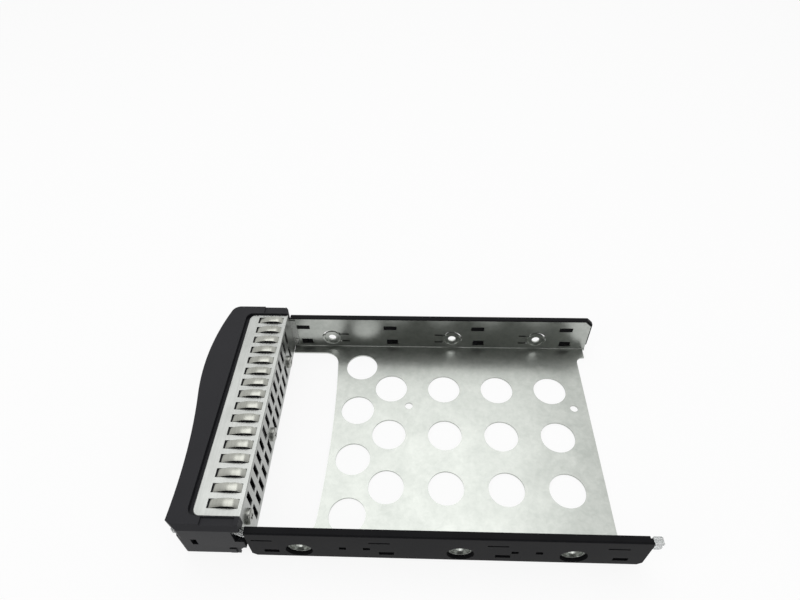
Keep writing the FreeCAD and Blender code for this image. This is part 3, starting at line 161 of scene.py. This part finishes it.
# %% [markdown]
# Sheet metal shows what is around it more than it shows lamps. On the far side of the table the
# surroundings are white, and on the camera's side they are dimmer, as in a room with one lit table. That is
# why the tray's base is pale, while its far wall and the strip of base in front of it, which both mirror
# the camera's side, are dark.

# %% The surroundings
DIM = 0.14
DIM_UP_TO = -0.12
WHITE_FROM = 0.36
SOFT_LIGHT = 0.55
world = bpy.data.worlds.new("studio")
bpy.context.scene.world = world
world.use_nodes = True
tree = world.node_tree
tree.nodes.clear()
path = add_node(tree, "ShaderNodeLightPath", {})
direction = add_node(tree, "ShaderNodeTexCoord", {})
split = add_node(tree, "ShaderNodeSeparateXYZ", {0: direction.outputs["Generated"]})
shade = add_node(tree, "ShaderNodeMapRange", {"Value": split.outputs["Y"], "From Min": DIM_UP_TO,
                                              "From Max": WHITE_FROM, "To Min": DIM, "To Max": 1.0},
                 interpolation_type="SMOOTHSTEP")
room = add_node(tree, "ShaderNodeCombineColor",
                {0: shade.outputs[0], 1: shade.outputs[0], 2: shade.outputs[0]})
mirrored = add_node(tree, "ShaderNodeMath", {0: path.outputs["Is Glossy Ray"],
                                             1: path.outputs["Is Transmission Ray"]},
                    operation="ADD", use_clamp=True)
soft = add_node(tree, "ShaderNodeBackground", {"Color": linear("#ffffff"), "Strength": SOFT_LIGHT})
around = add_node(tree, "ShaderNodeBackground", {"Color": room.outputs[0], "Strength": 1.0})
behind = add_node(tree, "ShaderNodeBackground", {"Color": linear("#ffffff"), "Strength": 1.0})
light = add_node(tree, "ShaderNodeMixShader",
                 {0: mirrored.outputs[0], 1: soft.outputs[0], 2: around.outputs[0]})
light = add_node(tree, "ShaderNodeMixShader",
                 {0: path.outputs["Is Camera Ray"], 1: light.outputs[0], 2: behind.outputs[0]})
add_node(tree, "ShaderNodeOutputWorld", {"Surface": light.outputs[0]})
print("the camera's side is lit to", DIM, "of the far side")

# %% [markdown]
# Three large soft lamps stand round the table and point at the caddy: one above and behind it, which puts
# the light on the bezel's top and the fingers, and a weaker one on either side of the camera. Each is given
# by its place in metres, its width and its power in watts.

# %% The lamps
LAMPS = {
    "softbox_above": ((-0.05, 0.20, 0.80), 0.7, 2.1),
    "softbox_left": ((-0.75, -0.35, 0.45), 0.5, 1.6),
    "softbox_right": ((0.65, -0.45, 0.50), 0.5, 1.2),
}
for name, (place, width, watts) in LAMPS.items():
    lamp = bpy.data.lights.new(name, "AREA")
    lamp.size = width
    lamp.energy = watts
    stand = bpy.data.objects.new(name, lamp)
    stand.location = place
    stand.rotation_euler = (-stand.location).to_track_quat("-Z", "Y").to_euler()
    bpy.context.scene.collection.objects.link(stand)
print("lamps:", len(LAMPS), " power:", round(sum(watts for _, _, watts in LAMPS.values()), 1), "W")

# %% [markdown]
# The tray is hot dip galvanised steel sheet with a fine, skin passed spangle: no crystals can be told
# apart, and what is left of them is a soft low mottle in tone and gloss. Two noises, one the size of a
# spangle and one of a centimetre or two, make that mottle, and a third, the grit of the rolls, blurs what
# the sheet mirrors.

# %% Galvanised steel sheet
SPANGLE_MM = 2.4
CLOUD_MM = 16.0
GRIT_MM = 0.4
galvanised, tree, shader = new_finish("galvanised_steel_sheet")
where = add_node(tree, "ShaderNodeTexCoord", {})
spangle = add_node(tree, "ShaderNodeTexNoise",
                   {"Vector": where.outputs["Object"], "Scale": per_metre(SPANGLE_MM),
                    "Detail": 4.0, "Roughness": 0.62, "Distortion": 0.4})
clouds = add_node(tree, "ShaderNodeTexNoise",
                  {"Vector": where.outputs["Object"], "Scale": per_metre(CLOUD_MM),
                   "Detail": 4.0, "Roughness": 0.6})
tone = add_node(tree, "ShaderNodeMix", {0: 0.5, 2: spangle.outputs["Fac"], 3: clouds.outputs["Fac"]})
zinc = add_node(tree, "ShaderNodeValToRGB", {0: tone.outputs[0]})
zinc.color_ramp.elements[0].position = 0.30
zinc.color_ramp.elements[0].color = linear("#a0a49f")
zinc.color_ramp.elements[1].position = 0.70
zinc.color_ramp.elements[1].color = linear("#bbbeb9")
blur = add_node(tree, "ShaderNodeMapRange", {"Value": spangle.outputs["Fac"], "To Min": 0.27, "To Max": 0.37})
grit = add_node(tree, "ShaderNodeTexNoise", {"Vector": where.outputs["Object"], "Scale": per_metre(GRIT_MM)})
relief = add_node(tree, "ShaderNodeBump",
                  {"Height": grit.outputs["Fac"], "Strength": 0.08, "Distance": 0.00005})
tree.links.new(zinc.outputs[0], shader.inputs["Base Color"])
tree.links.new(blur.outputs[0], shader.inputs["Roughness"])
tree.links.new(relief.outputs[0], shader.inputs["Normal"])
shader.inputs["Metallic"].default_value = 1.0
print("spangle:", SPANGLE_MM, "mm")

# %% [markdown]
# The shield is tin plated steel: whiter and smoother than the galvanised tray, with faint lines along the
# strip from rolling. The spring fingers are bare stainless spring steel, a little warmer and darker. Rolled
# metal has its streaks along one direction, so a noise is stretched along Y, the way the strip was rolled.

# %% Tin plate, spring steel and zinc plated screws
STAIN_MM = 9.0
ALONG_THE_STRIP = (1.0, 0.06, 1.0)


def rolled_metal(name, dark, pale, rough, streak_mm):
    """A rolled metal: two tones mixed by streaks that run along Y."""
    material, tree, shader = new_finish(name)
    where = add_node(tree, "ShaderNodeTexCoord", {})
    run = add_node(tree, "ShaderNodeMapping", {"Vector": where.outputs["Object"], "Scale": ALONG_THE_STRIP})
    streaks = add_node(tree, "ShaderNodeTexNoise", {"Vector": run.outputs[0], "Scale": per_metre(streak_mm),
                                                    "Detail": 4.0})
    stains = add_node(tree, "ShaderNodeTexNoise", {"Vector": where.outputs["Object"],
                                                   "Scale": per_metre(STAIN_MM), "Detail": 3.0})
    tone = add_node(tree, "ShaderNodeMix", {0: 0.45, 2: streaks.outputs["Fac"], 3: stains.outputs["Fac"]})
    ramp = add_node(tree, "ShaderNodeValToRGB", {0: tone.outputs[0]})
    ramp.color_ramp.elements[0].position = 0.35
    ramp.color_ramp.elements[0].color = linear(dark)
    ramp.color_ramp.elements[1].position = 0.68
    ramp.color_ramp.elements[1].color = linear(pale)
    blur = add_node(tree, "ShaderNodeMapRange", {"Value": streaks.outputs["Fac"], "To Min": rough - 0.06,
                                                 "To Max": rough + 0.08})
    relief = add_node(tree, "ShaderNodeBump", {"Height": streaks.outputs["Fac"], "Strength": 0.05,
                                               "Distance": 0.00003})
    tree.links.new(ramp.outputs[0], shader.inputs["Base Color"])
    tree.links.new(blur.outputs[0], shader.inputs["Roughness"])
    tree.links.new(relief.outputs[0], shader.inputs["Normal"])
    shader.inputs["Metallic"].default_value = 1.0
    return material


tin_plate = rolled_metal("tin_plated_steel", "#a6a8a5", "#babcb9", 0.38, 0.8)
spring_steel = rolled_metal("stainless_spring_steel", "#9a9b94", "#b2b3ac", 0.27, 1.2)
zinc_screws = rolled_metal("zinc_plated_steel", "#8f908c", "#b4b5b0", 0.28, 0.4)
print("metals:", tin_plate.name, spring_steel.name, zinc_screws.name)

# %% [markdown]
# The bezel, lever and runners are injection moulded ABS, black with a little grey in it. Their mould was
# spark eroded, so the skin has a fine sandy grain that scatters highlights. The runners came from a
# smoother mould. The grain also traps light, so the skin mirrors less than polished ABS does, and its
# specular level is low. The bezel's grain is a noise of 0.35 mm: the real one is finer, but wouldn't show
# at this distance.

# %% Moulded plastics
FLOW_MM = 18.0


def moulded_plastic(name, dark, pale, rough, gloss, grain_mm, grain_height):
    """Moulded ABS: nearly one colour, with a sandy grain and faint handling marks."""
    material, tree, shader = new_finish(name)
    where = add_node(tree, "ShaderNodeTexCoord", {})
    flow = add_node(tree, "ShaderNodeTexNoise", {"Vector": where.outputs["Object"],
                                                 "Scale": per_metre(FLOW_MM), "Detail": 3.0})
    ramp = add_node(tree, "ShaderNodeValToRGB", {0: flow.outputs["Fac"]})
    ramp.color_ramp.elements[0].position = 0.3
    ramp.color_ramp.elements[0].color = linear(dark)
    ramp.color_ramp.elements[1].position = 0.7
    ramp.color_ramp.elements[1].color = linear(pale)
    grain = add_node(tree, "ShaderNodeTexNoise", {"Vector": where.outputs["Object"],
                                                  "Scale": per_metre(grain_mm), "Detail": 2.0})
    blur = add_node(tree, "ShaderNodeMapRange", {"Value": flow.outputs["Fac"], "To Min": rough - 0.05,
                                                 "To Max": rough + 0.07})
    relief = add_node(tree, "ShaderNodeBump", {"Height": grain.outputs["Fac"], "Strength": 0.5,
                                               "Distance": grain_height})
    tree.links.new(ramp.outputs[0], shader.inputs["Base Color"])
    tree.links.new(blur.outputs[0], shader.inputs["Roughness"])
    tree.links.new(relief.outputs[0], shader.inputs["Normal"])
    shader.inputs["Specular IOR Level"].default_value = gloss
    return material


bezel_abs = moulded_plastic("spark_textured_abs", "#18181c", "#1f1f23", 0.55, 0.26, 0.35, 0.00006)
runner_abs = moulded_plastic("satin_moulded_abs", "#111113", "#18181a", 0.52, 0.06, 0.6, 0.00002)
button_abs = moulded_plastic("smooth_moulded_abs", "#222226", "#29292d", 0.40, 0.28, 0.5, 0.00002)
print("plastics:", bezel_abs.name, runner_abs.name, button_abs.name)

# %% [markdown]
# The light pipes are clear acrylic bars that carry the lamps' light along the runner. A haze of handling
# marks clouds them unevenly, so some of their skin looks polished and some looks like ground glass.

# %% Clear acrylic
HAZE_MM = 2.0
ACRYLIC_IOR = 1.49
acrylic, tree, shader = new_finish("clear_acrylic")
where = add_node(tree, "ShaderNodeTexCoord", {})
haze = add_node(tree, "ShaderNodeTexNoise", {"Vector": where.outputs["Object"], "Scale": per_metre(HAZE_MM),
                                             "Detail": 3.0})
blur = add_node(tree, "ShaderNodeMapRange", {"Value": haze.outputs["Fac"], "To Min": 0.12, "To Max": 0.34})
ramp = add_node(tree, "ShaderNodeValToRGB", {0: haze.outputs["Fac"]})
ramp.color_ramp.elements[0].color = linear("#dfe2e2")
ramp.color_ramp.elements[1].color = linear("#f4f5f4")
tree.links.new(ramp.outputs[0], shader.inputs["Base Color"])
tree.links.new(blur.outputs[0], shader.inputs["Roughness"])
shader.inputs["IOR"].default_value = ACRYLIC_IOR
shader.inputs["Transmission Weight"].default_value = 0.75
print("acrylic IOR:", ACRYLIC_IOR)

# %% [markdown]
# Every solid piece gets the finish of what it is made of. The strip and the screws are in the list too,
# although new pieces will stand in for them in the picture.

# %% The finish of each solid piece
FINISHES = {
    "tray": galvanised, "near_rail": runner_abs, "far_rail": runner_abs,
    "light_pipe_lower": acrylic, "light_pipe_upper": acrylic,
    "emi_shield": tin_plate, "finger_strip": spring_steel, "bezel_housing": bezel_abs,
    "vent_screen": spring_steel, "lever": bezel_abs, "pivot_pin": zinc_screws, "lever_spring": zinc_screws,
    "latch_button": button_abs, "latch_spring": zinc_screws,
    "shield_screw_near": zinc_screws, "shield_screw_mid": zinc_screws, "shield_screw_far": zinc_screws,
    "tab_rivet_near": zinc_screws, "tab_rivet_far": zinc_screws,
}
for node_name, material in FINISHES.items():
    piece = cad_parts[node_name]
    piece.data.materials.clear()
    piece.data.materials.append(material)
print("pieces with a finish:", len(FINISHES), "of", len(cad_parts))

# %% [markdown]
# Now the pieces that the solid model keeps plain. Each is modelled as by hand: a simple start is added at
# its size and place, and then its edges and faces are extruded, spun or scaled. An operator acts on all
# that is selected, so two helpers come first: one adds a start with nothing else selected, the other
# selects faces or edges by a test. The next two apply a modifier and give a finished mesh its material, and
# the last makes a copy of a whole piece.

# %% Helpers for modelling
MM = 0.001
NEARLY = 0.05 * MM


def start(name, operator, **settings):
    """Adds one primitive to shape, with its place in its mesh and nothing else selected."""
    bpy.ops.object.select_all(action="DESELECT")
    operator(**settings)
    piece = bpy.context.object
    piece.name = piece.data.name = name
    bpy.ops.object.transform_apply(location=True, rotation=True, scale=True)
    return piece


def select(piece, kind, test):
    """Goes into edit mode and selects only the points, edges or faces whose middle passes the test."""
    bpy.ops.object.mode_set(mode="EDIT")
    bpy.ops.mesh.select_mode(type=kind)
    bpy.ops.mesh.select_all(action="DESELECT")
    bpy.ops.object.mode_set(mode="OBJECT")
    points = piece.data.vertices
    parts = {"VERT": points, "EDGE": piece.data.edges, "FACE": piece.data.polygons}[kind]
    for part in parts:
        corners = [part] if kind == "VERT" else [points[index] for index in part.vertices]
        middle = sum((corner.co for corner in corners), Vector()) / len(corners)
        part.select = bool(test(middle))
    bpy.ops.object.mode_set(mode="EDIT")


def apply_modifier(piece, kind, **settings):
    """Leaves edit mode, gives a piece one modifier and applies it, so that the mesh itself has its result."""
    bpy.ops.object.mode_set(mode="OBJECT")
    bpy.ops.object.select_all(action="DESELECT")
    piece.select_set(True)
    bpy.context.view_layer.objects.active = piece
    modifier = piece.modifiers.new(kind.lower(), kind)
    for name, setting in settings.items():
        setattr(modifier, name, setting)
    bpy.ops.object.modifier_apply(modifier=modifier.name)


def close(piece, material, sharp_degrees=35):
    """Turns every face outwards, smooths the round ones and gives the piece its finish and its body."""
    bpy.ops.object.mode_set(mode="EDIT")
    bpy.ops.mesh.select_all(action="SELECT")
    bpy.ops.mesh.remove_doubles(threshold=0.001 * MM)
    bpy.ops.mesh.normals_make_consistent(inside=False)
    bpy.ops.object.mode_set(mode="OBJECT")
    bpy.ops.object.shade_smooth_by_angle(angle=math.radians(sharp_degrees))
    piece.data.materials.clear()
    piece.data.materials.append(material)
    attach(piece, "carrier")


def copy_of(piece, name, step):
    """A copy with its own mesh, moved by a step inside that mesh, and fixed to the same body."""
    twin = piece.copy()
    twin.data = piece.data.copy()
    twin.name = twin.data.name = name
    twin.data.transform(Matrix.Translation(step))
    bpy.context.scene.collection.objects.link(twin)
    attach(twin, "carrier")
    return twin


print("two places count as the same within", round(NEARLY / MM, 2), "mm")

# %% [markdown]
# The row of spring fingers makes the earthing contact with the next caddy. It is one strip of thin spring
# steel under the shield, and each finger bows up through its own window: it rises steeply from behind, has
# a flat crown and falls slowly to a free end in front, which leaves a thin black gap there. A finger is one
# short edge that is extruded along the bow, a step at a time, and then given the thickness of the sheet.

# %% The spring fingers
FINGERS = 16
FINGER_WIDE = 3.3 * MM
FINGER_LONG = 11.1 * MM
FINGER_FIRST = -44.7 * MM
FINGER_LAST = 46.0 * MM
FINGER_BEHIND = 0.45 * MM
ROOT_LONG = 0.35 * MM
SPRING_SHEET = 0.25 * MM
SHEARED_EDGE = 0.07 * MM
BOW_STEPS = 20
RISE, CROWN_END, FREE_END = 0.30, 0.45, 0.15
strip_low, strip_high = (Vector(corner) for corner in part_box("finger_strip"))
finger_rear = strip_high.x - FINGER_BEHIND
root_height = strip_low.z
crown_height = strip_high.z - SPRING_SHEET - root_height


def bow(share):
    """Height of a finger above its root, from its rear end at 0 to its free end at 1."""
    if share < RISE:
        return crown_height * math.sin(math.pi / 2 * share / RISE)
    fall = max(0.0, share - CROWN_END) / (1 - CROWN_END)
    return crown_height * (FREE_END + (1 - FREE_END) * max(0.0, math.cos(math.pi / 2 * fall)))


finger = start("spring_finger_1", bpy.ops.mesh.primitive_plane_add, size=FINGER_WIDE,
               location=(finger_rear + FINGER_WIDE / 2, FINGER_FIRST, root_height))
select(finger, "EDGE", lambda middle: abs(middle.x - finger_rear - FINGER_WIDE) < NEARLY)
bpy.ops.transform.translate(value=(ROOT_LONG - FINGER_WIDE, 0, 0))
run = FINGER_LONG / BOW_STEPS
for step in range(BOW_STEPS):
    front = finger_rear - step * run
    select(finger, "EDGE",
           lambda middle: abs(middle.x - front) < NEARLY and abs(middle.y - FINGER_FIRST) < NEARLY)
    climb = bow((step + 1) / BOW_STEPS) - bow(step / BOW_STEPS)
    bpy.ops.mesh.extrude_region_move(TRANSFORM_OT_translate={"value": (-run, 0, climb)})
apply_modifier(finger, "SOLIDIFY", thickness=SPRING_SHEET, offset=1.0)
apply_modifier(finger, "BEVEL", width=SHEARED_EDGE, segments=2, limit_method="ANGLE")
close(finger, spring_steel, sharp_degrees=50)
fingers = [finger]
for index in range(1, FINGERS):
    across = (FINGER_LAST - FINGER_FIRST) * index / (FINGERS - 1)
    fingers.append(copy_of(finger, f"spring_finger_{index + 1}", (0, across, 0)))
print("fingers:", len(fingers), " bow:", round(crown_height / MM, 2), "mm")

# %% [markdown]
# The strip that joins the fingers lies behind them, under the shield's edge. It is a plain band of the same
# sheet, so it is a plane, scaled to its size and given its thickness, and its long edges are broken by a
# small bevel.

# %% The strip that joins the fingers
BAND_WIDE = 0.7 * MM
BAND_EDGE = 0.06 * MM
band_middle = (strip_high.x - BAND_WIDE / 2, 0, root_height)
band = start("spring_strip_band", bpy.ops.mesh.primitive_plane_add, size=1.0, location=band_middle)
bpy.ops.object.mode_set(mode="EDIT")
bpy.ops.mesh.select_all(action="SELECT")
bpy.ops.transform.resize(value=(BAND_WIDE, strip_high.y - strip_low.y, 1), center_override=band_middle)
bpy.ops.mesh.extrude_region_move(TRANSFORM_OT_translate={"value": (0, 0, SPRING_SHEET)})
bpy.ops.mesh.select_all(action="SELECT")
bpy.ops.mesh.bevel(offset=BAND_EDGE, segments=2, affect="EDGES")
close(band, spring_steel)
for piece in [*fingers, band]:
    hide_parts("finger_strip")
print("band:", round(BAND_WIDE / MM, 1), "mm wide")

# %% [markdown]
# Three pan head screws hold the shield. A pan head is a low disc with a rounded rim, slightly domed, with a
# cross recess. A short cylinder is the start: its face is inset and pushed out twice for the dome, and its
# rim is bevelled.

# %% The pan head
HEAD_RADIUS = 3.0 * MM
HEAD_TALL = 1.7 * MM
HEAD_ROUND = 0.4 * MM
DOME_STEPS = ((0.55 * MM, 0.25 * MM), (1.0 * MM, 0.10 * MM))
SHEET_FACE = -59.5 * MM
near_low, near_high = (Vector(corner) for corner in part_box("shield_screw_near"))
screw_y, screw_z = (near_low.y + near_high.y) / 2, (near_low.z + near_high.z) / 2
disc_tall = HEAD_TALL - sum(push for inset, push in DOME_STEPS)
disc_top = SHEET_FACE + disc_tall
head = start("screw_head_near", bpy.ops.mesh.primitive_cylinder_add, vertices=40, radius=HEAD_RADIUS,
             depth=disc_tall, location=(SHEET_FACE + disc_tall / 2, screw_y, screw_z),
             rotation=(0, math.pi / 2, 0))
select(head, "FACE", lambda middle: abs(middle.x - disc_top) < NEARLY)
for inset, push in DOME_STEPS:
    bpy.ops.mesh.inset(thickness=inset)
    bpy.ops.transform.translate(value=(push, 0, 0))
select(head, "EDGE", lambda middle: abs(middle.x - disc_top) < NEARLY)
bpy.ops.mesh.bevel(offset=HEAD_ROUND, segments=4, affect="EDGES")
bpy.ops.object.mode_set(mode="OBJECT")
print("head:", len(head.data.polygons), "faces before its recess is cut")

# %% [markdown]
# The recess is cut by a second piece, with a Boolean modifier. That piece is a cube whose four sides are
# drawn out to arms, and whose inner end is pushed in and narrowed. It is turned a little, because no screw
# stops upright.

# %% The cross recess, and the other two heads
ARM_WIDE = 0.9 * MM
ARM_LONG = 1.15 * MM
CROSS_PROUD = 0.5 * MM
CROSS_DEEPER = 0.6 * MM
CROSS_NARROWS = 0.6
CROSS_TURN = 32
head_top = Vector((SHEET_FACE + HEAD_TALL, screw_y, screw_z))
cross_middle = head_top + Vector((CROSS_PROUD - ARM_WIDE / 2, 0, 0))
cross = start("cross_recess", bpy.ops.mesh.primitive_cube_add, size=ARM_WIDE, location=cross_middle)
for direction in (Vector((0, 1, 0)), Vector((0, -1, 0)), Vector((0, 0, 1)), Vector((0, 0, -1))):
    side_middle = cross_middle + direction * ARM_WIDE / 2
    select(cross, "FACE", lambda middle: (middle - side_middle).length < NEARLY)
    bpy.ops.mesh.extrude_region_move(TRANSFORM_OT_translate={"value": direction * ARM_LONG})
select(cross, "VERT", lambda middle: middle.x < head_top.x)
bpy.ops.transform.translate(value=(-CROSS_DEEPER, 0, 0))
bpy.ops.transform.resize(value=(1, CROSS_NARROWS, CROSS_NARROWS), center_override=head_top)
bpy.ops.mesh.select_all(action="SELECT")
bpy.ops.mesh.normals_make_consistent(inside=False)
bpy.ops.transform.rotate(value=math.radians(CROSS_TURN), orient_axis="X", center_override=head_top)
apply_modifier(head, "BOOLEAN", object=cross, solver="EXACT")
bpy.data.objects.remove(cross)
close(head, zinc_screws, sharp_degrees=30)
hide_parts("shield_screw_near")
for screw in ("mid", "far"):
    low, high = (Vector(corner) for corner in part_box(f"shield_screw_{screw}"))
    twin = copy_of(head, f"screw_head_{screw}", (low + high - near_low - near_high) / 2)
    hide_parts(f"shield_screw_{screw}")
print("screw head:", len(head.data.polygons), "faces, reaching x =",
      round(max(corner.co.x for corner in head.data.vertices) / MM, 2), "mm")

# %% [markdown]
# Each screw pad of the tray is stiffened by a pressed rim round it, a low ridge that is open at the pad's
# neck. Such a ridge has one section all along its arc, so a small square is stretched and spun about the
# middle of the screw hole. Half of it is inside the sheet and half stands proud, and its upper edge catches
# the light from above. The near wall's rims are copies of the far wall's, moved to the near wall's outer
# face, where the runner's ports show them.

# %% The pressed rims of the screw pads
HOLE_X = [(-40.0 + place) * MM for place in (0.0, 60.0, 101.6)]
HOLE_Z = 7.15 * MM
RIM_RADIUS = 4.2 * MM
RIM_WIDE = 0.9 * MM
RIM_PROUD = 0.7 * MM
RIM_EDGE = 0.12 * MM
RIM_OPEN = math.radians(100)
RIM_STEPS = 40
WALL_INSIDE = 51.2 * MM
WALL_OUTSIDE = 52.0 * MM


def pad_rim(name, hole_x, neck):
    """One rim on the far wall's inner face, open towards the neck of its pad, at +1 behind or -1 in front."""
    place = (hole_x + neck * RIM_RADIUS * math.cos(RIM_OPEN / 2), WALL_INSIDE,
             HOLE_Z + RIM_RADIUS * math.sin(RIM_OPEN / 2))
    rim = start(name, bpy.ops.mesh.primitive_plane_add, size=RIM_WIDE, location=place,
                rotation=(0, -neck * RIM_OPEN / 2, 0))
    bpy.ops.object.mode_set(mode="EDIT")
    bpy.ops.mesh.select_all(action="SELECT")
    bpy.ops.transform.resize(value=(1, 2 * RIM_PROUD / RIM_WIDE, 1), center_override=place)
    bpy.ops.mesh.spin(steps=RIM_STEPS, angle=2 * math.pi - RIM_OPEN, center=(hole_x, WALL_INSIDE, HOLE_Z),
                      axis=(0, -neck, 0))
    apply_modifier(rim, "BEVEL", width=RIM_EDGE, segments=2, limit_method="ANGLE")
    close(rim, galvanised)
    return rim


rims = [pad_rim("pad_rim_far_1", HOLE_X[0], 1), pad_rim("pad_rim_far_2", HOLE_X[1], -1)]
rims.append(copy_of(rims[1], "pad_rim_far_3", (HOLE_X[2] - HOLE_X[1], 0, 0)))
for index, rim in enumerate(rims[:3], start=1):
    to_near_wall = (0, -WALL_INSIDE - WALL_OUTSIDE, 0)
    rims.append(copy_of(rim, f"pad_rim_near_{index}", to_near_wall))
faces_at = {}
for face in rims[0].data.polygons:
    for edge in face.edge_keys:
        faces_at[edge] = faces_at.get(edge, 0) + 1
print("rims:", len(rims), " open edges:", sum(count != 2 for count in faces_at.values()),
      " lowest point in mm:", round(min(corner.co.z for corner in rims[0].data.vertices) / MM, 2))
